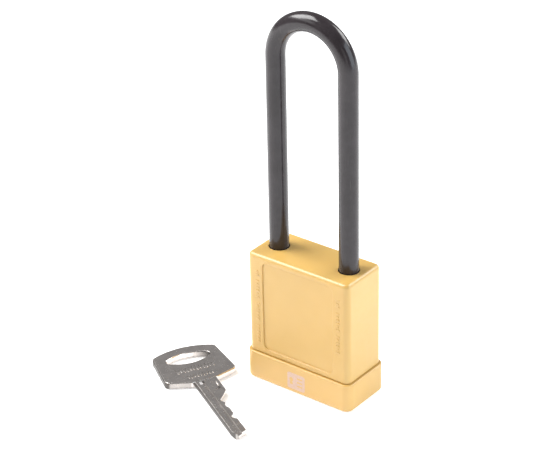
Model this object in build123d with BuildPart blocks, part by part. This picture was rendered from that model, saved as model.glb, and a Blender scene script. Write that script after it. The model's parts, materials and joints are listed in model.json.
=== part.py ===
from build123d import *
import os
from math import cos, radians, sin

# A long-shackle safety padlock and its key, one solid for each real piece. Millimetres, +Z up,
# front towards -Y. The origin is the centre of the keyway, on the underside of the base cap.
# The shackle is down and locked. The long heel leg is at -X and the short toe leg at +X.

# Plastic cover
SLEEVE_WIDTH = 40.0
SLEEVE_DEPTH = 18.5
SLEEVE_TOP = 46.4
SLEEVE_CORNER = 2.0
SLEEVE_WALL = 1.2
SLEEVE_ROOF = 1.8
TOP_ROUNDING = 1.3
PANEL_WIDTH = 27.8
PANEL_LOW = 12.0
PANEL_HIGH = 44.2
PANEL_CORNER = 2.0
PANEL_SINK = 0.4
PANEL_EDGE = 0.3
LIP_STEP = 0.6  # set-back of the cover's lower lip, which sits inside the cap
LIP_LOW = 5.0

# Base cap
CAP_WIDTH = 41.7
CAP_DEPTH = 20.2
CAP_HEIGHT = 10.0
CAP_CORNER = 2.8
CAP_FLOOR = 1.5
CAP_EDGE = 0.8
CAP_RIM = 0.35
SHADOW_GAP = 0.3  # between the cap's rim and the step of the cover
GAP = 0.1  # assembly gap between pieces that don't slide
FIT = 0.05  # radial running fit of pins, plug and barrel

# Shackle
SHACKLE_PITCH = 27.7
CORE_RADIUS = 3.0
COATING = 0.25
COATING_LOW = 45.2
BEND_START = 113.7
SHACKLE_HOLE_RADIUS = 3.55
CORE_FIT = 0.075
TOE_BELOW_BALL = 6.95
TOE_CLEARANCE = 0.65  # height of the toe over the cover when the shackle is up
TIP_CHAMFER = 0.5

# Locking balls
BALL_RADIUS = 2.75
BALL_Z = 40.4
NOTCH_DEPTH = 1.1
NOTCH_CLEARANCE = 0.1
BALL_SLOPE = 0.2  # the ball moves in by this much for each millimetre of lift
BALL_BORE_RADIUS = 2.85

# Barrel, plug and driver, all on the Z axis
BARREL_RADIUS = 6.55
BARREL_TOP = 30.0
PLUG_RADIUS = 4.75
PLUG_FACE = 0.9
PLUG_TOP = 31.8
HEAD_RADIUS = 5.4
HEAD_TOP = 2.3
KEYWAY_LOW_X = -3.85
KEYWAY_HIGH_X = 2.5
KEYWAY_WIDTH = 2.3
KEYWAY_TOP = 29.0
WARD_WIDTH = 0.8
WARD_HEIGHT = 0.45
SLOT_LOW = 29.4
SLOT_WIDTH = 1.7
CLIP_LOW = 30.15
CLIP_HIGH = 30.95
CLIP_ROOT_RADIUS = 3.8
CHAMBER_RADIUS = 6.6
CHAMBER_TOP = 43.6
DRIVER_LOW = 31.95
CAM_LOW = 37.6
CAM_HIGH = 43.2
CAM_HIGH_RADIUS = 6.3
CAM_MIDDLE_RADIUS = 4.7  # half way down the flank
CAM_LOW_RADIUS = 3.5
FLANK_START = 5.0  # angle from the X axis to the top of the flank
LOBE_END = 24.0  # angle from the X axis to the step at the lobe's other end
TAIL_LENGTH = 5.2
TAIL_THICKNESS = 1.5
TAIL_TOP = 35.0

# Pin stacks, from the plug towards +X
PIN_COUNT = 5
PIN_PITCH = 3.5
PIN_RADIUS = 1.4
KEY_PIN_END = 4.45
DRIVER_PIN_START = 4.95
DRIVER_PIN_END = 8.6
CHAMBER_PLUG_START = 14.5
PIN_WIRE = 0.35

# Shackle stop and springs
STOP_RADIUS = 0.8
STOP_Z = 30.0
NECK_RADIUS = 2.1
NECK_TOP = 31.5
COLLAR_HEIGHT = 3.0
HEEL_BORE_LOW = 3.0
HEEL_WIRE = 0.8
HEEL_COIL_RADIUS = 2.3

# Key, measured along its blade from the bow's lower edge and across it from the spine
KEY_X = -30.12
KEY_Y = -26.593
KEY_ANGLE = -29.2
BOW_THICKNESS = 2.4
BLADE_THICKNESS = 2.0
BOW_CENTRE = 3.65
BOW_CROWN = -21.3
BOW_TOP = -18.4
BOW_TOP_HALF = 11.4
BOW_BASE = -2.0
BOW_BASE_HALF = 12.7
BOW_CORNER = 2.0
BOW_EDGE = 0.5  # rounding radius of the bow's edges
SPINE_EDGE = 0.7  # rounding radius along the blade's spine
TONGUE = 0.8
TONGUE_HALF = 4.5
SLOT_MIDDLE = -14.1
SLOT_HALF_HEIGHT = 3.15
SLOT_HALF_WIDTH = 8.4
SLOT_END_RADIUS = 1.2
SHOULDER = 9.3
BLADE_HEIGHT = 7.85
KEY_STOP = 11.4  # where the sloping edge meets the mouth of the keyway
KEY_STOP_HEIGHT = 6.25
BLADE_TIP = 35.1
TIP_SPINE_LENGTH = 3.6  # of the rise from the spine
TIP_BLUNT = 0.4
TIP_LOW = 0.8
TIP_NOSE = 1.8
TIP_EDGE_LENGTH = 1.4  # of the slope up to the cut edge
FIRST_CUT = 14.5
CUT_FLAT = 0.8
CUT_HEIGHTS = (3.9, 4.15, 4.8, 3.5, 4.7)
LAND_HEIGHT = 4.8  # of the blade's edge between two cuts
GROOVE_START = 0.6
GROOVE_CENTRE = 2.2
GROOVE_WIDTH = 1.7
GROOVE_DEPTH = 0.6
POCKET_PLACE = (5.3, 5.85)
POCKET_RADIUS = 6.0  # of the cutter that leaves the dished pocket
POCKET_WIDTH = 1.9
KEY_SPINE_X = -3.75  # where the spine lies in the keyway

BODY_WIDTH = SLEEVE_WIDTH - 2 * (SLEEVE_WALL + GAP)
BODY_DEPTH = SLEEVE_DEPTH - 2 * (SLEEVE_WALL + GAP)
BODY_CORNER = SLEEVE_CORNER - SLEEVE_WALL
BODY_LOW = CAP_FLOOR + GAP
BODY_HIGH = SLEEVE_TOP - SLEEVE_ROOF - GAP
STEP_Z = CAP_HEIGHT + SHADOW_GAP
TOE_X = SHACKLE_PITCH / 2
HEEL_X = -TOE_X
LEG_FACE = TOE_X - CORE_RADIUS
BALL_X = LEG_FACE - BALL_RADIUS + NOTCH_DEPTH
TOE_LOW = BALL_Z - TOE_BELOW_BALL
LIFT = SLEEVE_TOP - TOE_LOW + TOE_CLEARANCE
COLLAR_TOP = STOP_Z - STOP_RADIUS - LIFT - GAP
HEEL_LOW = COLLAR_TOP - COLLAR_HEIGHT
STOP_X = HEEL_X - NECK_RADIUS - STOP_RADIUS - 1.5 * GAP
BARREL_PIN_X = -(PLUG_RADIUS + FIT + BARREL_RADIUS) / 2
BARREL_PIN_Z = 26.0
BARREL_PIN_RADIUS = 0.75
BASE_PINS = ((-16.3, -5.5), (16.3, 5.5))
BASE_PIN_RADIUS = 0.9
BASE_PIN_TOP = 8.0
BASE_HEAD_RADIUS = 1.6
BASE_HEAD_HEIGHT = 0.7
cut_places = [FIRST_CUT + PIN_PITCH * i for i in range(PIN_COUNT)]
pin_heights = [PLUG_FACE + place - KEY_STOP for place in cut_places]


def upright_block(width, depth, corner, low, high, mode=Mode.ADD):
    """Rounded rectangular prism on the Z axis, between two heights."""
    with BuildSketch(Plane.XY.offset(low)) as outline:
        RectangleRounded(width, depth, corner)
    return extrude(outline.sketch, amount=high - low, mode=mode)


def upright_rod(x, y, radius, low, high, mode=Mode.ADD):
    """Round rod or hole parallel to Z, between two heights."""
    with BuildSketch(Plane.XY.offset(low)) as disc:
        with Locations((x, y)):
            Circle(radius)
    return extrude(disc.sketch, amount=high - low, mode=mode)


def side_rod(z, radius, low_x, high_x, mode=Mode.ADD):
    """Round rod or hole parallel to X in the plane of the two legs."""
    with BuildSketch(Plane.YZ.offset(low_x)) as disc:
        with Locations((0, z)):
            Circle(radius)
    return extrude(disc.sketch, amount=high_x - low_x, mode=mode)


def cross_rod(x, z, radius, half_length, mode=Mode.ADD):
    """Round rod or hole parallel to Y, from front to back."""
    with BuildSketch(Plane.XZ) as disc:
        with Locations((x, z)):
            Circle(radius)
    return extrude(disc.sketch, amount=half_length, both=True, mode=mode)


def coil_spring(start, direction, length, coil_radius, wire, turns):
    """Open coil spring: its wire stays within the given length."""
    rise = length - wire
    with BuildLine() as path:
        Helix(pitch=rise / turns, height=rise, radius=coil_radius, center=start, direction=direction)
    with BuildSketch(Plane(origin=path.line @ 0, z_dir=path.line % 0)) as section:
        Circle(wire / 2)
    return sweep(section.sketch, path=path.line, is_frenet=True)


def save(part, name):
    """Label a finished piece and write its own STEP file."""
    part.label = name
    export_step(part, f"parts/{name}.step")


os.makedirs("parts", exist_ok=True)

# Plastic cover: open below, with two shackle holes in its roof and a sunk panel on each broad face
with BuildPart() as cover_sleeve:
    upright_block(SLEEVE_WIDTH, SLEEVE_DEPTH, SLEEVE_CORNER, STEP_Z, SLEEVE_TOP)
    fillet(cover_sleeve.edges().group_by(Axis.Z)[-1], TOP_ROUNDING)
    lip_width = SLEEVE_WIDTH - 2 * LIP_STEP
    lip_depth = SLEEVE_DEPTH - 2 * LIP_STEP
    upright_block(lip_width, lip_depth, SLEEVE_CORNER - LIP_STEP, LIP_LOW, STEP_Z)
    inner_width = SLEEVE_WIDTH - 2 * SLEEVE_WALL
    inner_depth = SLEEVE_DEPTH - 2 * SLEEVE_WALL
    roof = SLEEVE_TOP - SLEEVE_ROOF
    upright_block(inner_width, inner_depth, BODY_CORNER, LIP_LOW, roof, Mode.SUBTRACT)
    for leg_x in (HEEL_X, TOE_X):
        upright_rod(leg_x, 0, SHACKLE_HOLE_RADIUS, roof, SLEEVE_TOP, Mode.SUBTRACT)
    for face_y in (-SLEEVE_DEPTH / 2 + PANEL_SINK, SLEEVE_DEPTH / 2):
        with BuildSketch(Plane.XZ.offset(-face_y)) as panel:
            with Locations((0, (PANEL_LOW + PANEL_HIGH) / 2)):
                RectangleRounded(PANEL_WIDTH, PANEL_HIGH - PANEL_LOW, PANEL_CORNER)
        extrude(panel.sketch, amount=PANEL_SINK, mode=Mode.SUBTRACT)
    for face_y in (-SLEEVE_DEPTH / 2, SLEEVE_DEPTH / 2):
        rim = cover_sleeve.edges().filter_by_position(Axis.Y, face_y - GAP, face_y + GAP)
        rim = rim.filter_by_position(Axis.X, -PANEL_WIDTH / 2, PANEL_WIDTH / 2)
        fillet(rim.filter_by_position(Axis.Z, PANEL_LOW, PANEL_HIGH), PANEL_EDGE)
save(cover_sleeve.part, "cover_sleeve")

# Base cap: a shallow cup round the lower end, with the keyway hole and two sunk pin heads
with BuildPart() as base_cap:
    upright_block(CAP_WIDTH, CAP_DEPTH, CAP_CORNER, 0, CAP_HEIGHT)
    fillet(base_cap.edges().group_by(Axis.Z)[0], CAP_EDGE)
    fillet(base_cap.edges().group_by(Axis.Z)[-1], CAP_RIM)
    upright_block(inner_width, inner_depth, BODY_CORNER, CAP_FLOOR, CAP_HEIGHT, Mode.SUBTRACT)
    seat_width = lip_width + 2 * GAP
    seat_depth = lip_depth + 2 * GAP
    seat_corner = SLEEVE_CORNER - LIP_STEP + GAP
    upright_block(seat_width, seat_depth, seat_corner, LIP_LOW - 2 * GAP, CAP_HEIGHT, Mode.SUBTRACT)
    upright_rod(0, 0, HEAD_RADIUS + 2 * GAP, 0, CAP_FLOOR, Mode.SUBTRACT)
    for pin_x, pin_y in BASE_PINS:
        upright_rod(pin_x, pin_y, BASE_PIN_RADIUS + FIT, 0, CAP_FLOOR, Mode.SUBTRACT)
        upright_rod(pin_x, pin_y, BASE_HEAD_RADIUS + GAP, 0, BASE_HEAD_HEIGHT + GAP, Mode.SUBTRACT)
save(base_cap.part, "base_cap")

with BuildPart() as base_pins:
    for pin_x, pin_y in BASE_PINS:
        upright_rod(pin_x, pin_y, BASE_PIN_RADIUS, GAP, BASE_PIN_TOP)
        upright_rod(pin_x, pin_y, BASE_HEAD_RADIUS, GAP, BASE_HEAD_HEIGHT)
save(base_pins.part, "base_pins")

# Metal block inside the cover
with BuildPart() as lock_body:
    upright_block(BODY_WIDTH, BODY_DEPTH, BODY_CORNER - GAP, BODY_LOW, BODY_HIGH)
    chamfer(lock_body.edges().group_by(Axis.Z)[-1], 3 * GAP)
    bore = CORE_RADIUS + CORE_FIT
    upright_rod(HEEL_X, 0, bore, HEEL_BORE_LOW, BODY_HIGH, Mode.SUBTRACT)
    upright_rod(TOE_X, 0, bore, TOE_LOW - 4 * GAP, BODY_HIGH, Mode.SUBTRACT)
    upright_rod(0, 0, CHAMBER_RADIUS, BODY_LOW, CHAMBER_TOP, Mode.SUBTRACT)
    side_rod(BALL_Z, BALL_BORE_RADIUS, HEEL_X, BODY_WIDTH / 2, Mode.SUBTRACT)
    for pin_z in pin_heights:
        side_rod(pin_z, PIN_RADIUS + FIT, BARREL_RADIUS - 1, BODY_WIDTH / 2, Mode.SUBTRACT)
    cross_rod(STOP_X, STOP_Z, STOP_RADIUS + FIT, BODY_DEPTH, Mode.SUBTRACT)
    cross_rod(BARREL_PIN_X, BARREL_PIN_Z, BARREL_PIN_RADIUS + FIT, BODY_DEPTH, Mode.SUBTRACT)
    for pin_x, pin_y in BASE_PINS:
        upright_rod(pin_x, pin_y, BASE_PIN_RADIUS + FIT, BODY_LOW, BASE_PIN_TOP + GAP, Mode.SUBTRACT)
save(lock_body.part, "lock_body")

# Shackle: the steel core with its notches and neck, and the plastic skin on the part that shows
with BuildPart() as shackle_core:
    with BuildLine(Plane.XZ) as bow:
        Line((HEEL_X, HEEL_LOW), (HEEL_X, BEND_START))
        ThreePointArc((HEEL_X, BEND_START), (0, BEND_START + TOE_X), (TOE_X, BEND_START))
        Line((TOE_X, BEND_START), (TOE_X, TOE_LOW))
    with BuildSketch(Plane.XY.offset(HEEL_LOW)) as rod:
        with Locations((HEEL_X, 0)):
            Circle(CORE_RADIUS)
    sweep(path=bow.line)
    chamfer(shackle_core.faces().sort_by(Axis.Z)[0].edges(), TIP_CHAMFER)
    chamfer(shackle_core.faces().filter_by(GeomType.PLANE).sort_by(Axis.X)[-1].edges(), TIP_CHAMFER)
    for side in (-1, 1):
        with BuildSketch(Plane.XZ) as notch:
            with Locations((side * BALL_X, BALL_Z)):
                Circle(BALL_RADIUS + NOTCH_CLEARANCE)
            ramp_depth = NOTCH_DEPTH + 1.5 * NOTCH_CLEARANCE
            with BuildLine():
                Polyline(
                    (side * LEG_FACE, BALL_Z),
                    (side * (LEG_FACE + ramp_depth), BALL_Z),
                    (side * LEG_FACE, BALL_Z - ramp_depth / BALL_SLOPE),
                    close=True,
                )
            make_face()
        extrude(amount=2 * CORE_RADIUS, both=True, mode=Mode.SUBTRACT)
    with BuildSketch(Plane.XY.offset(COLLAR_TOP)) as neck:
        with Locations((HEEL_X, 0)):
            Circle(2 * CORE_RADIUS)
            Circle(NECK_RADIUS, mode=Mode.SUBTRACT)
    extrude(amount=NECK_TOP - COLLAR_TOP, mode=Mode.SUBTRACT)
save(shackle_core.part, "shackle_core")

with BuildPart() as shackle_coating:
    with BuildLine(Plane.XZ) as bow:
        Line((HEEL_X, COATING_LOW), (HEEL_X, BEND_START))
        ThreePointArc((HEEL_X, BEND_START), (0, BEND_START + TOE_X), (TOE_X, BEND_START))
        Line((TOE_X, BEND_START), (TOE_X, COATING_LOW))
    with BuildSketch(Plane.XY.offset(COATING_LOW)) as ring:
        with Locations((HEEL_X, 0)):
            Circle(CORE_RADIUS + COATING)
            Circle(CORE_RADIUS, mode=Mode.SUBTRACT)
    sweep(path=bow.line)
save(shackle_coating.part, "shackle_coating")

with BuildPart() as shackle_stop_pin:
    cross_rod(STOP_X, STOP_Z, STOP_RADIUS, BODY_DEPTH / 2 - GAP)
save(shackle_stop_pin.part, "shackle_stop_pin")

with BuildPart() as shackle_spring:
    spring_low = HEEL_BORE_LOW + GAP
    spring_length = HEEL_LOW - spring_low - GAP
    spring_start = (HEEL_X, 0, spring_low + HEEL_WIRE / 2)
    coil_spring(spring_start, (0, 0, 1), spring_length, HEEL_COIL_RADIUS, HEEL_WIRE, turns=6)
save(shackle_spring.part, "shackle_spring")

# Locking balls and the plug that closes their drilled way
for side, name in ((-1, "ball_heel"), (1, "ball_toe")):
    with BuildPart() as ball:
        with Locations((side * BALL_X, 0, BALL_Z)):
            Sphere(BALL_RADIUS)
    save(ball.part, name)

with BuildPart() as ball_bore_plug:
    side_rod(BALL_Z, BALL_BORE_RADIUS - FIT, TOE_X + CORE_RADIUS + 2 * GAP, BODY_WIDTH / 2 - GAP)
save(ball_bore_plug.part, "ball_bore_plug")

# Driver: a round boss under a two-lobed cam, whose flanks fall away over a quarter turn
with BuildPart() as driver:
    upright_rod(0, 0, PLUG_RADIUS, DRIVER_LOW, CAM_LOW)
    with BuildSketch(Plane.XY.offset(CAM_LOW)) as cam:
        for turn in (0, 180):
            flank_high = Vector(CAM_HIGH_RADIUS, 0).rotate(Axis.Z, turn + FLANK_START)
            flank_middle = Vector(CAM_MIDDLE_RADIUS, 0).rotate(Axis.Z, turn + FLANK_START - 45)
            flank_low = Vector(CAM_LOW_RADIUS, 0).rotate(Axis.Z, turn + FLANK_START - 90)
            lobe_middle = Vector(CAM_HIGH_RADIUS, 0).rotate(Axis.Z, turn + (FLANK_START + LOBE_END) / 2)
            lobe_end = Vector(CAM_HIGH_RADIUS, 0).rotate(Axis.Z, turn + LOBE_END)
            with BuildLine():
                ThreePointArc(flank_high, flank_middle, flank_low)
                ThreePointArc(flank_high, lobe_middle, lobe_end)
                Polyline(lobe_end, (0, 0), flank_low)
            make_face()
        Circle(CAM_LOW_RADIUS)
    extrude(amount=CAM_HIGH - CAM_LOW)
    with BuildSketch(Plane.XY.offset(DRIVER_LOW)) as slot:
        Rectangle(2 * PLUG_RADIUS, SLOT_WIDTH)
    extrude(amount=TAIL_TOP + 2 * GAP - DRIVER_LOW, mode=Mode.SUBTRACT)
save(driver.part, "driver")

with BuildPart() as tailpiece:
    with BuildSketch(Plane.XY.offset(SLOT_LOW + GAP)):
        Rectangle(TAIL_LENGTH, TAIL_THICKNESS)
    extrude(amount=TAIL_TOP - SLOT_LOW - GAP)
    chamfer(tailpiece.edges().filter_by(Axis.Y), 2 * GAP)
save(tailpiece.part, "tailpiece")

# Barrel: fills the block's lower bore and carries the plug
with BuildPart() as cylinder_barrel:
    upright_rod(0, 0, BARREL_RADIUS, BODY_LOW, BARREL_TOP)
    upright_rod(0, 0, PLUG_RADIUS + FIT, BODY_LOW, BARREL_TOP, Mode.SUBTRACT)
    upright_rod(0, 0, HEAD_RADIUS + GAP, BODY_LOW, HEAD_TOP + GAP, Mode.SUBTRACT)
    for pin_z in pin_heights:
        side_rod(pin_z, PIN_RADIUS + FIT, 0, BARREL_RADIUS, Mode.SUBTRACT)
    cross_rod(BARREL_PIN_X, BARREL_PIN_Z, BARREL_PIN_RADIUS + FIT, BODY_DEPTH, Mode.SUBTRACT)
save(cylinder_barrel.part, "cylinder_barrel")

with BuildPart() as barrel_pin:
    cross_rod(BARREL_PIN_X, BARREL_PIN_Z, BARREL_PIN_RADIUS, BODY_DEPTH / 2 - GAP)
save(barrel_pin.part, "barrel_pin")

with BuildPart() as plug:
    upright_rod(0, 0, PLUG_RADIUS, PLUG_FACE, PLUG_TOP)
    upright_rod(0, 0, HEAD_RADIUS, PLUG_FACE, HEAD_TOP)
    with BuildSketch(Plane.XY.offset(PLUG_FACE)) as keyway:
        with Locations(((KEYWAY_LOW_X + KEYWAY_HIGH_X) / 2, 0)):
            Rectangle(KEYWAY_HIGH_X - KEYWAY_LOW_X, KEYWAY_WIDTH)
        with Locations((KEY_SPINE_X + GROOVE_CENTRE, KEYWAY_WIDTH / 2)):
            Rectangle(WARD_WIDTH, 2 * WARD_HEIGHT, mode=Mode.SUBTRACT)
    extrude(amount=KEYWAY_TOP - PLUG_FACE, mode=Mode.SUBTRACT)
    for pin_z in pin_heights:
        side_rod(pin_z, PIN_RADIUS + FIT, 0, PLUG_RADIUS, Mode.SUBTRACT)
    with BuildSketch(Plane.XY.offset(SLOT_LOW)) as slot:
        Rectangle(2 * PLUG_RADIUS, SLOT_WIDTH)
    extrude(amount=PLUG_TOP - SLOT_LOW, mode=Mode.SUBTRACT)
    with BuildSketch(Plane.XY.offset(CLIP_LOW)) as groove:
        Circle(2 * PLUG_RADIUS)
        Circle(CLIP_ROOT_RADIUS, mode=Mode.SUBTRACT)
    extrude(amount=CLIP_HIGH - CLIP_LOW, mode=Mode.SUBTRACT)
save(plug.part, "plug")

with BuildPart() as plug_clip:
    with BuildSketch(Plane.XY.offset(CLIP_LOW + FIT)) as clip:
        Circle(HEAD_RADIUS)
        Circle(CLIP_ROOT_RADIUS + FIT, mode=Mode.SUBTRACT)
        with Locations((0, HEAD_RADIUS)):
            Rectangle(HEAD_RADIUS, HEAD_RADIUS, mode=Mode.SUBTRACT)
    extrude(amount=CLIP_HIGH - CLIP_LOW - 2 * FIT)
save(plug_clip.part, "plug_clip")

# Pin stacks: key pin in the plug, driver pin and spring in the block, closed by a small plug
for number, (pin_z, cut) in enumerate(zip(pin_heights, CUT_HEIGHTS), start=1):
    with BuildPart() as key_pin:
        side_rod(pin_z, PIN_RADIUS, KEY_SPINE_X + cut, KEY_PIN_END)
        chamfer(key_pin.edges().filter_by(GeomType.CIRCLE).sort_by(Axis.X)[0], PIN_RADIUS / 2)
    save(key_pin.part, f"key_pin_{number}")
    with BuildPart() as driver_pin:
        side_rod(pin_z, PIN_RADIUS, DRIVER_PIN_START, DRIVER_PIN_END)
        chamfer(driver_pin.edges().filter_by(GeomType.CIRCLE), 2 * GAP)
    save(driver_pin.part, f"driver_pin_{number}")
    with BuildPart() as pin_spring:
        coil_start = (DRIVER_PIN_END + GAP + PIN_WIRE / 2, 0, pin_z)
        coil_length = CHAMBER_PLUG_START - DRIVER_PIN_END - 2 * GAP
        coil_spring(coil_start, (1, 0, 0), coil_length, PIN_RADIUS - PIN_WIRE, PIN_WIRE, turns=7)
    save(pin_spring.part, f"pin_spring_{number}")

with BuildPart() as chamber_plugs:
    for pin_z in pin_heights:
        side_rod(pin_z, PIN_RADIUS, CHAMBER_PLUG_START, BODY_WIDTH / 2 - GAP)
save(chamber_plugs.part, "chamber_plugs")

# Key, lying flat in front of the lock: a cut blade with a groove and a dished pocket, and a bow
# whose tongue laps over the blade's root
key_x_dir = (cos(radians(KEY_ANGLE)), sin(radians(KEY_ANGLE)), 0)
key_plane = Plane(origin=(KEY_X, KEY_Y, 0), x_dir=key_x_dir, z_dir=(0, 0, 1))
blade_low = (BOW_THICKNESS - BLADE_THICKNESS) / 2
blade_high = BOW_THICKNESS - blade_low
cut_edge = []
for place, height in reversed(list(zip(cut_places, CUT_HEIGHTS))):
    cut_edge.append((place + PIN_PITCH / 2, LAND_HEIGHT))
    cut_edge.append((place + CUT_FLAT / 2, height))
    cut_edge.append((place - CUT_FLAT / 2, height))
with BuildPart() as blade:
    with BuildSketch(key_plane.offset(blade_low)):
        with BuildLine():
            Polyline(
                (BOW_BASE, BLADE_HEIGHT),
                (BOW_BASE, 0),
                (BLADE_TIP - TIP_SPINE_LENGTH, 0),
                (BLADE_TIP - TIP_BLUNT, TIP_LOW),
                (BLADE_TIP, TIP_NOSE),
                (BLADE_TIP - TIP_EDGE_LENGTH, LAND_HEIGHT),
                *cut_edge,
                (KEY_STOP, KEY_STOP_HEIGHT),
                (SHOULDER, BLADE_HEIGHT),
                close=True,
            )
        make_face()
    extrude(amount=BLADE_THICKNESS)
    along_blade = blade.edges().filter_by(Axis((KEY_X, KEY_Y, 0), key_x_dir))
    fillet(along_blade.sort_by(SortBy.LENGTH)[-2:], SPINE_EDGE)
with BuildPart() as key:
    with BuildSketch(key_plane) as bow_outline:
        with BuildLine():
            ThreePointArc(
                (BOW_TOP, BOW_CENTRE - BOW_TOP_HALF),
                (BOW_CROWN, BOW_CENTRE),
                (BOW_TOP, BOW_CENTRE + BOW_TOP_HALF),
            )
            Polyline(
                (BOW_TOP, BOW_CENTRE + BOW_TOP_HALF),
                (BOW_BASE, BOW_CENTRE + BOW_BASE_HALF),
                (TONGUE, BOW_CENTRE + TONGUE_HALF),
                (TONGUE, BOW_CENTRE - TONGUE_HALF),
                (BOW_BASE, BOW_CENTRE - BOW_BASE_HALF),
                (BOW_TOP, BOW_CENTRE - BOW_TOP_HALF),
            )
        make_face()
        fillet(bow_outline.vertices(), BOW_CORNER)
        slot_ends = [(SLOT_MIDDLE, BOW_CENTRE + side * SLOT_HALF_WIDTH) for side in (-1, 1)]
        with BuildSketch(key_plane, mode=Mode.PRIVATE) as slot:
            with BuildLine():
                ThreePointArc(slot_ends[0], (SLOT_MIDDLE - SLOT_HALF_HEIGHT, BOW_CENTRE), slot_ends[1])
                ThreePointArc(slot_ends[1], (SLOT_MIDDLE + SLOT_HALF_HEIGHT, BOW_CENTRE), slot_ends[0])
            make_face()
            fillet(slot.vertices(), SLOT_END_RADIUS)
        add(slot.sketch_local, mode=Mode.SUBTRACT)
    extrude(amount=BOW_THICKNESS)
    fillet(key.edges().group_by(Axis.Z)[-1] + key.edges().group_by(Axis.Z)[0], BOW_EDGE)
    add(blade.part)
    with BuildSketch(key_plane.offset(blade_high)):
        with Locations(((TONGUE + BLADE_TIP) / 2 + GROOVE_START, GROOVE_CENTRE)):
            Rectangle(BLADE_TIP - TONGUE, GROOVE_WIDTH)
    extrude(amount=-GROOVE_DEPTH, mode=Mode.SUBTRACT)
    cutter_axis = key_plane.from_local_coords((*POCKET_PLACE, blade_high - GROOVE_DEPTH + POCKET_RADIUS))
    with BuildSketch(Plane(origin=cutter_axis, x_dir=key_x_dir, z_dir=key_plane.y_dir)):
        Circle(POCKET_RADIUS)
    extrude(amount=POCKET_WIDTH / 2, both=True, mode=Mode.SUBTRACT)
save(key.part, "key")
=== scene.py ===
import json
from math import cos, pi, radians, sin

import bpy
from mathutils import Matrix, Vector


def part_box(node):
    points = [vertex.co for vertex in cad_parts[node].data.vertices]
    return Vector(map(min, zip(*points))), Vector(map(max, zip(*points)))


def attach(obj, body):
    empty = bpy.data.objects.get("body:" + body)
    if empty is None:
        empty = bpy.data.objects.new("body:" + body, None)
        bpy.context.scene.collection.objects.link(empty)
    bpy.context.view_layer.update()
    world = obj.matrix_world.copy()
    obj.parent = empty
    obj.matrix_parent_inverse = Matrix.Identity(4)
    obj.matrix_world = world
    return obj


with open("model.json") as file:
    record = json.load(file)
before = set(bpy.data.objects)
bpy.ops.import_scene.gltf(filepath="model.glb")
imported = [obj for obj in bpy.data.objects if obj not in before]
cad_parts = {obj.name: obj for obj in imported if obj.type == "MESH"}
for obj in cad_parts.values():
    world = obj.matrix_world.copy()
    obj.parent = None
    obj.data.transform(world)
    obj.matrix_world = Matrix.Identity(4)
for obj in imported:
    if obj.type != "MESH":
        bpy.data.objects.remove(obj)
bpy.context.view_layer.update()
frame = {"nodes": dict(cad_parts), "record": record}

# The looks of a safety padlock and its key. Everything is in metres, in the frame of the CAD model.
MM = 0.001

# Camera: it looks at the lock from the front right and above
VIEW_AZIMUTH = radians(38.295)
VIEW_ELEVATION = radians(28.298)
VIEW_ROLL = radians(-1.326)
VIEW_DISTANCE = 0.67034
VIEW_HEIGHT = 0.060
VIEW_RIGHT = 0.01371
VIEW_UP = -0.00159
LENS_MM = 141.2
SENSOR_MM = 36.0

# Stage
FLOOR_HALF = 6.0
FLOOR_Z = -0.1 * MM
FLOOR_MOTTLE = 0.05
FLOOR_COLOUR = (0.93, 0.93, 0.93)
FLOOR_GLOW = 0.34
WORLD_STRENGTH = 0.29

# Colours: each look mixes a main colour with a darker, paler or rubbed one
COVER_COLOUR = (0.605, 0.375, 0.098)
COVER_DARK = (0.575, 0.353, 0.089)
CAP_COLOUR = (0.625, 0.38, 0.102)
CAP_DARK = (0.595, 0.36, 0.093)
COAT_COLOUR = (0.020, 0.015, 0.017)
COAT_PALE = (0.030, 0.024, 0.027)
COAT_STREAK = (0.055, 0.050, 0.051)
INK_COLOUR = (0.58, 0.40, 0.30)
INK_PALE = (0.62, 0.45, 0.38)
NICKEL_COLOUR = (0.81, 0.755, 0.72)
# NICKEL_SHADE is painted shade: the key's faces toward its spine side are darkened to this colour
NICKEL_SHADE = (0.125, 0.115, 0.108)
NICKEL_RUBBED = (0.80, 0.77, 0.75)

# Where the key lies, as in the CAD model
KEY_ORIGIN = (-30.12 * MM, -26.593 * MM)
KEY_ANGLE = radians(-29.2)

# Print patch on the cap, in millimetres on its front face
PATCH_CENTRE = (-0.25, 4.4)
PATCH_SIZE = (7.0, 6.0)
PATCH_CORNER = 0.7
PATCH_HEIGHT = 0.06
PATCH_EDGE = 0.01
KEYHOLE_CENTRE = (-2.2, 4.9)
KEYHOLE_RADIUS = 0.75
KEYHOLE_FOOT = 0.75
KEYHOLE_DROP = 1.9
BARS_X = 1.2
BARS_Z = (3.0, 4.4, 5.8)
BAR_SIZE = (2.2, 0.6)
BAR_CORNER = 0.25

# Ticks on the rims of the cover, in millimetres: each column's x, lowest z and highest z
TICK_COLUMNS = {"left": (-16.0, 14.0, 41.0), "right": (16.0, 21.0, 41.0)}
TICK_LONG = 1.5
TICK_SHORT = 1.0
TICK_THICKNESS = 0.6
TICK_CORNER = 0.25
TICK_PITCH = 1.2
TICK_GAP = 2.4
TICK_HEIGHT = 0.36
TICK_EDGE = 0.08

# Rows of bars on the bow of the key, in millimetres along and across it:
# along, first across, pitch, count, lengths in turn, thickness, corner
KEY_ROWS = (
    (-7.1, -3.0, 1.15, 12, (3.0, 2.2, 2.6), 0.55, 0.2),
    (-2.5, -0.7, 1.05, 9, (1.6, 2.0), 0.45, 0.15),
)
KEY_MARK_HEIGHT = 0.50
KEY_MARK_EDGE = 0.15


# ---------------------------------------------------------------- shader helpers

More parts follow.
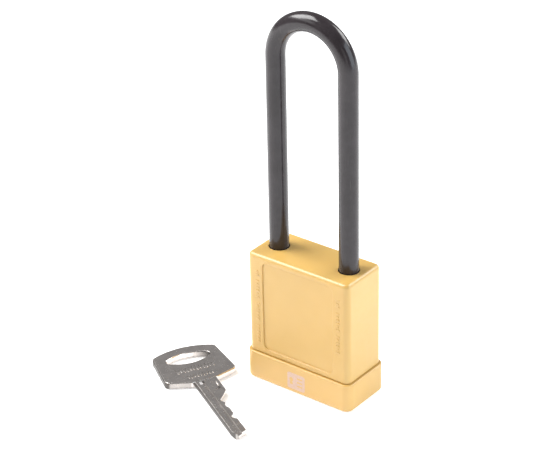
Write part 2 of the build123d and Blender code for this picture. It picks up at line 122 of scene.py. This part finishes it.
class Shader:
    """A node material with one Principled shader, built up by small steps."""

    def __init__(self, name, **sockets):
        self.material = bpy.data.materials.new(name)
        self.material.use_nodes = True
        self.tree = self.material.node_tree
        self.tree.nodes.clear()
        output = self.tree.nodes.new("ShaderNodeOutputMaterial")
        self.shader = self.tree.nodes.new("ShaderNodeBsdfPrincipled")
        self.tree.links.new(self.shader.outputs["BSDF"], output.inputs["Surface"])
        self.coordinates = self.tree.nodes.new("ShaderNodeTexCoord")
        self.bump_chain = None
        for socket, value in sockets.items():
            self.shader.inputs[socket.replace("_", " ")].default_value = value

    def node(self, kind, **inputs):
        """A new node with its named inputs set or linked."""
        made = self.tree.nodes.new(kind)
        for socket, value in inputs.items():
            self.plug(value, made.inputs[socket.replace("_", " ")])
        return made

    def plug(self, value, socket):
        """Links a socket to another, or sets it to a plain value."""
        if isinstance(value, bpy.types.NodeSocket):
            self.tree.links.new(value, socket)
        else:
            socket.default_value = value

    def place(self, stretch=(1, 1, 1), turn=(0, 0, 0)):
        """Object coordinates, turned and then stretched: a small stretch draws the pattern out."""
        mapping = self.node("ShaderNodeMapping", Rotation=turn, Scale=stretch)
        self.tree.links.new(self.coordinates.outputs["Object"], mapping.inputs["Vector"])
        return mapping.outputs["Vector"]

    def noise(self, size, detail=3.0, roughness=0.5, **kwargs):
        """Noise whose blobs are about this many metres across."""
        made = self.node("ShaderNodeTexNoise", Scale=1.0 / size, Detail=detail, Roughness=roughness)
        self.tree.links.new(self.place(**kwargs), made.inputs["Vector"])
        return made.outputs["Fac"]

    def ramp(self, value, low, high, out_low=0.0, out_high=1.0):
        """Maps low..high onto out_low..out_high, clamped."""
        made = self.node("ShaderNodeMapRange")
        self.plug(value, made.inputs["Value"])
        limits = {"From Min": low, "From Max": high, "To Min": out_low, "To Max": out_high}
        for socket, number in limits.items():
            made.inputs[socket].default_value = number
        return made.outputs["Result"]

    def mix(self, factor, first, second):
        """Blends two colours; each is a plain colour or a socket."""
        made = self.tree.nodes.new("ShaderNodeMix")
        made.data_type = "RGBA"
        self.plug(factor, made.inputs["Factor"])
        for value, socket in ((first, made.inputs[6]), (second, made.inputs[7])):
            self.plug((*value, 1.0) if isinstance(value, tuple) else value, socket)
        return made.outputs[2]

    def add(self, first, second, operation="ADD"):
        """One step of arithmetic, a sum unless another operation is named."""
        made = self.tree.nodes.new("ShaderNodeMath")
        made.operation = operation
        self.plug(first, made.inputs[0])
        self.plug(second, made.inputs[1])
        return made.outputs["Value"]

    def edges(self, radius, low=0.02, high=0.25):
        """One on sharp edges and zero on open faces, from how far a bevelled normal leans."""
        bevel = self.node("ShaderNodeBevel", Radius=radius)
        geometry = self.tree.nodes.new("ShaderNodeNewGeometry")
        lean = self.tree.nodes.new("ShaderNodeVectorMath")
        lean.operation = "DOT_PRODUCT"
        self.tree.links.new(bevel.outputs["Normal"], lean.inputs[0])
        self.tree.links.new(geometry.outputs["Normal"], lean.inputs[1])
        return self.ramp(self.add(1.0, lean.outputs["Value"], "SUBTRACT"), low, high)

    def facing(self, direction):
        """Cosine of the angle between the surface and a direction at rest."""
        geometry = self.tree.nodes.new("ShaderNodeNewGeometry")
        lean = self.tree.nodes.new("ShaderNodeVectorMath")
        lean.operation = "DOT_PRODUCT"
        self.tree.links.new(geometry.outputs["Normal"], lean.inputs[0])
        lean.inputs[1].default_value = direction
        return lean.outputs["Value"]

    def bump(self, height, distance, strength):
        """Adds one more layer of relief, distance metres high, over the layers before it."""
        made = self.node("ShaderNodeBump", Height=height, Distance=distance, Strength=strength)
        if self.bump_chain is not None:
            self.tree.links.new(self.bump_chain, made.inputs["Normal"])
        self.bump_chain = made.outputs["Normal"]
        self.tree.links.new(self.bump_chain, self.shader.inputs["Normal"])

    def colour(self, value):
        self.plug(value, self.shader.inputs["Base Color"])

    def rough(self, value):
        self.plug(value, self.shader.inputs["Roughness"])


# ---------------------------------------------------------------- materials

def moulded_plastic(name, colour, dark):
    """Satin moulded plastic: faint flow clouds, a fine spark-eroded grain and paler rubbed edges."""
    look = Shader(name, IOR=1.6, Subsurface_Weight=0.08, Subsurface_Scale=0.6 * MM, Coat_Weight=0.45,
                  Coat_Roughness=0.3)
    look.shader.inputs["Subsurface Radius"].default_value = (1.0, 0.55, 0.2)
    clouds = look.noise(14 * MM, detail=2.0)
    tint = look.mix(look.ramp(clouds, 0.35, 0.7), dark, colour)
    scuffs = look.noise(1.2 * MM, detail=4.0, roughness=0.65, stretch=(1, 1, 0.35))
    worn = look.add(look.edges(0.35 * MM), look.ramp(scuffs, 0.45, 0.7), "MULTIPLY")
    pale = tuple(min(1.0, 0.7 * c + 0.27) for c in colour)
    tint = look.mix(look.add(worn, 0.35, "MULTIPLY"), tint, pale)
    look.colour(tint)
    look.rough(look.ramp(look.noise(2.5 * MM, detail=4.0), 0.3, 0.7, 0.36, 0.48))
    look.bump(look.noise(0.16 * MM, detail=2.0), 0.010 * MM, 0.4)
    look.bump(look.noise(9 * MM, detail=1.0), 0.05 * MM, 0.4)
    return look.material


def shackle_coat(name):
    """Dark glossy skin with a faint ripple along the rod and fine rubbed streaks."""
    look = Shader(name, IOR=1.44, Coat_Weight=0.10, Coat_Roughness=0.08)
    clouds = look.noise(6 * MM, detail=3.0)
    tint = look.mix(look.ramp(clouds, 0.35, 0.65), COAT_COLOUR, COAT_PALE)
    streaks = look.noise(0.5 * MM, detail=4.0, stretch=(1, 1, 0.08))
    tint = look.mix(look.ramp(streaks, 0.62, 0.8, 0.0, 0.5), tint, COAT_STREAK)
    look.colour(tint)
    look.rough(look.ramp(look.noise(1.5 * MM, detail=4.0), 0.3, 0.7, 0.15, 0.24))
    look.bump(look.noise(0.5 * MM, detail=2.0), 0.006 * MM, 0.3)
    look.bump(look.noise(3.5 * MM, detail=2.0, stretch=(1, 1, 0.5)), 0.02 * MM, 0.4)
    return look.material


def metal(name, colour, rough, grain=(1, 1, 1), grain_size=0.25 * MM, wear=0.4):
    """Bare metal: drawn or turned grain, cloudy tarnish and brighter edges."""
    look = Shader(name, Metallic=1.0)
    clouds = look.noise(3 * MM, detail=3.0, roughness=0.6)
    dark = tuple(0.72 * c for c in colour)
    tint = look.mix(look.ramp(clouds, 0.35, 0.68), dark, colour)
    bright = tuple(min(1.0, 1.25 * c + 0.04) for c in colour)
    tint = look.mix(look.add(look.edges(0.18 * MM), wear, "MULTIPLY"), tint, bright)
    look.colour(tint)
    lines = look.noise(grain_size, detail=3.0, stretch=grain)
    look.rough(look.ramp(lines, 0.3, 0.7, *rough))
    look.bump(lines, 0.010 * MM, 0.35)
    return look.material


def nickel(name):
    """Nickel plate on a stamped key: painted shade and extra roughness on the faces toward the spine side,
    faint crossed scratches and rubbed edges.
    """
    look = Shader(name, Metallic=1.0)
    clouds = look.noise(4 * MM, detail=4.0, roughness=0.6)
    tint = look.mix(look.ramp(clouds, 0.35, 0.68), tuple(0.86 * c for c in NICKEL_COLOUR), NICKEL_COLOUR)
    tint = look.mix(look.add(look.edges(0.25 * MM), 0.3, "MULTIPLY"), tint, NICKEL_RUBBED)
    # Painted shade: faces turned toward the key's spine side are darkened towards NICKEL_SHADE by the
    # direction of their normal; the same mask also makes them rougher
    spine_side = (sin(KEY_ANGLE), -cos(KEY_ANGLE), 0)
    spine_shade_and_dull = look.ramp(look.facing(spine_side), 0.12, 0.55)
    look.colour(look.mix(spine_shade_and_dull, tint, NICKEL_SHADE))
    first = look.noise(0.16 * MM, detail=3.0, stretch=(1, 0.05, 1), turn=(0, 0, radians(24)))
    second = look.noise(0.2 * MM, detail=3.0, stretch=(0.05, 1, 1), turn=(0, 0, radians(-48)))
    scratches = look.add(look.ramp(first, 0.6, 0.78), look.ramp(second, 0.62, 0.8))
    base = look.ramp(look.noise(1.2 * MM, detail=4.0), 0.3, 0.7, 0.18, 0.27)
    scratched = look.add(base, look.add(scratches, 0.08, "MULTIPLY"))
    look.rough(look.add(scratched, look.add(spine_shade_and_dull, 0.15, "MULTIPLY")))
    look.bump(scratches, -0.002 * MM, 0.3)
    look.bump(look.noise(2.5 * MM, detail=1.0), 0.010 * MM, 0.4)
    return look.material


def print_ink(name):
    """Pad-printed off-white ink, slightly patchy."""
    look = Shader(name, IOR=1.45)
    patches = look.noise(0.5 * MM, detail=4.0, roughness=0.7)
    look.colour(look.mix(look.ramp(patches, 0.42, 0.6), INK_COLOUR, INK_PALE))
    look.rough(look.ramp(patches, 0.3, 0.7, 0.45, 0.6))
    look.bump(patches, 0.01 * MM, 0.3)
    return look.material


def dress(name, material):
    """Give a CAD node its material."""
    mesh = frame["nodes"][name].data
    mesh.materials.clear()
    mesh.materials.append(material)


cover_plastic = moulded_plastic("cover_plastic", COVER_COLOUR, COVER_DARK)
cap_plastic = moulded_plastic("cap_plastic", CAP_COLOUR, CAP_DARK)
coat = shackle_coat("shackle_coat")
core_steel = metal("core_steel", (0.34, 0.34, 0.35), (0.24, 0.40), grain=(1, 1, 0.05))
hard_steel = metal("hard_steel", (0.55, 0.55, 0.57), (0.12, 0.25), wear=0.2)
wire_steel = metal("wire_steel", (0.48, 0.47, 0.46), (0.25, 0.4), grain_size=0.12 * MM)
block_metal = metal("block_metal", (0.72, 0.72, 0.73), (0.3, 0.5), grain=(0.06, 1, 1))
brass = metal("brass", (0.78, 0.56, 0.24), (0.22, 0.4), grain=(1, 1, 0.15))
key_nickel = nickel("key_nickel")
ink = print_ink("print_ink")

by_slot = {
    "cover_plastic": cover_plastic,
    "cap_plastic": cap_plastic,
    "coating": coat,
    "steel": core_steel,
    "spring_steel": wire_steel,
    "block": block_metal,
    "brass": brass,
    "key_nickel": key_nickel,
}
for subpart in frame["record"]["subparts"]:
    dress(subpart["node"], by_slot[subpart["material_slot"]])
for ball in ("ball_heel", "ball_toe"):
    dress(ball, hard_steel)


# ---------------------------------------------------------------- small raised details

def rounded_box(x, y, width, height, corner, steps=4):
    """Outline of a rounded rectangle round a centre."""
    points = []
    for quarter, (side_x, side_y) in enumerate(((1, 1), (-1, 1), (-1, -1), (1, -1))):
        centre_x = x + side_x * (width / 2 - corner)
        centre_y = y + side_y * (height / 2 - corner)
        for step in range(steps + 1):
            angle = (quarter + step / steps) * pi / 2
            points.append((centre_x + corner * cos(angle), centre_y + corner * sin(angle)))
    return points


def keyhole(x, y, radius, foot, drop, steps=16):
    """Outline of a keyhole: most of a circle above a flared foot."""
    points = [(x + foot, y - drop)]
    for step in range(steps + 1):
        angle = radians(-60 + 300 * step / steps)
        points.append((x + radius * cos(angle), y + radius * sin(angle)))
    points.append((x - foot, y - drop))
    return points


def raised_piece(name, outlines, height, edge, place, material, body):
    """Flat outlines, holes included, raised from a face with bevelled edges. Sizes in millimetres."""
    curve = bpy.data.curves.new(name, "CURVE")
    curve.dimensions = "2D"
    curve.fill_mode = "BOTH"
    curve.extrude = height / 2 - edge
    curve.bevel_depth = edge
    curve.bevel_resolution = 1
    curve.offset = -edge
    for outline in outlines:
        spline = curve.splines.new("POLY")
        spline.points.add(len(outline) - 1)
        for point, (x, y) in zip(spline.points, outline):
            point.co = (x, y, 0, 1)
        spline.use_cyclic_u = True
    source = bpy.data.objects.new(name + "_outline", curve)
    mesh = bpy.data.meshes.new_from_object(source)
    bpy.data.objects.remove(source)
    mesh.name = name
    mesh.transform(place @ Matrix.Scale(MM, 4))
    mesh.materials.clear()
    mesh.materials.append(material)
    piece = bpy.data.objects.new(name, mesh)
    bpy.context.scene.collection.objects.link(piece)
    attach(piece, body)


def face_front(y):
    """Placement on a face towards -Y: outline x stays x, and outline y becomes z."""
    return Matrix.Translation((0, y, 0)) @ Matrix.Rotation(pi / 2, 4, "X")


# Generic print on the cap: a keyhole and three bars left bare in an off-white patch
cap_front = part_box("base_cap")[0][1]
patch = [
    rounded_box(*PATCH_CENTRE, *PATCH_SIZE, PATCH_CORNER),
    keyhole(*KEYHOLE_CENTRE, KEYHOLE_RADIUS, KEYHOLE_FOOT, KEYHOLE_DROP),
]
patch += [rounded_box(BARS_X, bar_z, *BAR_SIZE, BAR_CORNER) for bar_z in BARS_Z]
raised_piece("print_patch", patch, PATCH_HEIGHT, PATCH_EDGE, face_front(cap_front), ink, "body")

# Columns of small raised ticks on the cover's rims, in place of moulded lettering
sleeve_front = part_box("cover_sleeve")[0][1]
for column, (tick_x, low_z, high_z) in TICK_COLUMNS.items():
    ticks = []
    tick_z = low_z
    while tick_z < high_z:
        length = TICK_SHORT if len(ticks) % 3 == 1 else TICK_LONG
        ticks.append(rounded_box(tick_x, tick_z, length, TICK_THICKNESS, TICK_CORNER, steps=2))
        tick_z += TICK_GAP if len(ticks) % 6 == 0 else TICK_PITCH
    raised_piece("ticks_" + column, ticks, TICK_HEIGHT, TICK_EDGE, face_front(sleeve_front), cover_plastic,
                 "body")

# Rows of short raised bars on the key's bow, in place of its stamped lettering
key_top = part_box("key")[1][2]
key_place = Matrix.Translation((*KEY_ORIGIN, key_top)) @ Matrix.Rotation(KEY_ANGLE, 4, "Z")
bars = []
for along, first, pitch, count, lengths, thickness, corner in KEY_ROWS:
    for number in range(count):
        length = lengths[number % len(lengths)]
        bars.append(rounded_box(along, first + pitch * number, length, thickness, corner, steps=2))
raised_piece("key_marks", bars, KEY_MARK_HEIGHT, KEY_MARK_EDGE, key_place, key_nickel, "key")


# ---------------------------------------------------------------- stage, light and camera

def stage_plane(name, corners, material):
    """One flat face that belongs to the stage and not to the part."""
    mesh = bpy.data.meshes.new(name)
    mesh.from_pydata(corners, [], [(0, 1, 2, 3)])
    mesh.materials.append(material)
    obj = bpy.data.objects.new(name, mesh)
    bpy.context.scene.collection.objects.link(obj)


floor_look = Shader("floor_paper", Roughness=0.9, Emission_Strength=FLOOR_GLOW, Emission_Color=(1, 1, 1, 1))
floor_dark = tuple(0.99 * c for c in FLOOR_COLOUR)
floor_look.colour(floor_look.mix(floor_look.noise(FLOOR_MOTTLE), FLOOR_COLOUR, floor_dark))
floor_corners = [
    (side_x * FLOOR_HALF, side_y * FLOOR_HALF, FLOOR_Z)
    for side_x, side_y in ((-1, -1), (1, -1), (1, 1), (-1, 1))
]
stage_plane("floor", floor_corners, floor_look.material)

azimuth_cos, azimuth_sin = cos(VIEW_AZIMUTH), sin(VIEW_AZIMUTH)
backward = Vector((
    azimuth_sin * cos(VIEW_ELEVATION),
    -azimuth_cos * cos(VIEW_ELEVATION),
    sin(VIEW_ELEVATION),
))
level_right = Vector((azimuth_cos, azimuth_sin, 0))
level_up = backward.cross(level_right)
right = level_right * cos(VIEW_ROLL) + level_up * sin(VIEW_ROLL)
up = level_up * cos(VIEW_ROLL) - level_right * sin(VIEW_ROLL)
camera_data = bpy.data.cameras.new("camera")
camera_data.lens = LENS_MM
camera_data.sensor_width = SENSOR_MM
camera = bpy.data.objects.new("camera", camera_data)
bpy.context.scene.collection.objects.link(camera)
eye = Vector((0, 0, VIEW_HEIGHT)) + backward * VIEW_DISTANCE - right * VIEW_RIGHT + up * VIEW_UP
camera.matrix_world = Matrix.Translation(eye) @ Matrix((right, up, backward)).transposed().to_4x4()
bpy.context.scene.camera = camera


def soft_box(name, place, aim, size, power, colour=(1, 1, 1)):
    """A rectangular area light aimed at a point."""
    data = bpy.data.lights.new(name, "AREA")
    data.shape = "RECTANGLE"
    data.size, data.size_y = size
    data.energy = power
    data.color = colour
    light = bpy.data.objects.new(name, data)
    bpy.context.scene.collection.objects.link(light)
    light.location = place
    light.rotation_euler = (Vector(aim) - Vector(place)).to_track_quat("-Z", "Y").to_euler()


# The top light stands to the left, so that the key doesn't mirror it when it is seen from above.
# The back light lifts the top of the lock without reaching its front.
soft_box("light_top", (-0.72, -0.25, 1.0), (0, 0, 0.05), (0.70, 0.90), 24.0)
soft_box("light_back", (0.45, 1.05, 0.85), (0, 0, 0.05), (0.8, 0.6), 12.0)
soft_box("light_right", (1.2, 0.3, 0.5), (0, 0, 0.05), (1.1, 1.0), 10.5, (0.80, 0.91, 1.0))
soft_box("light_front", (1.03, -1.04, 0.41), (0, 0, 0.06), (0.5, 0.7), 0.8)
soft_box("light_left", (-0.82, -1.04, 0.83), (0, 0, 0.12), (0.6, 0.6), 2.2)

world = bpy.data.worlds.new("studio")
world.use_nodes = True
background = world.node_tree.nodes["Background"]
background.inputs["Color"].default_value = (1, 1, 1, 1)
background.inputs["Strength"].default_value = WORLD_STRENGTH
bpy.context.scene.world = world
bpy.context.scene.view_settings.view_transform = "Standard"
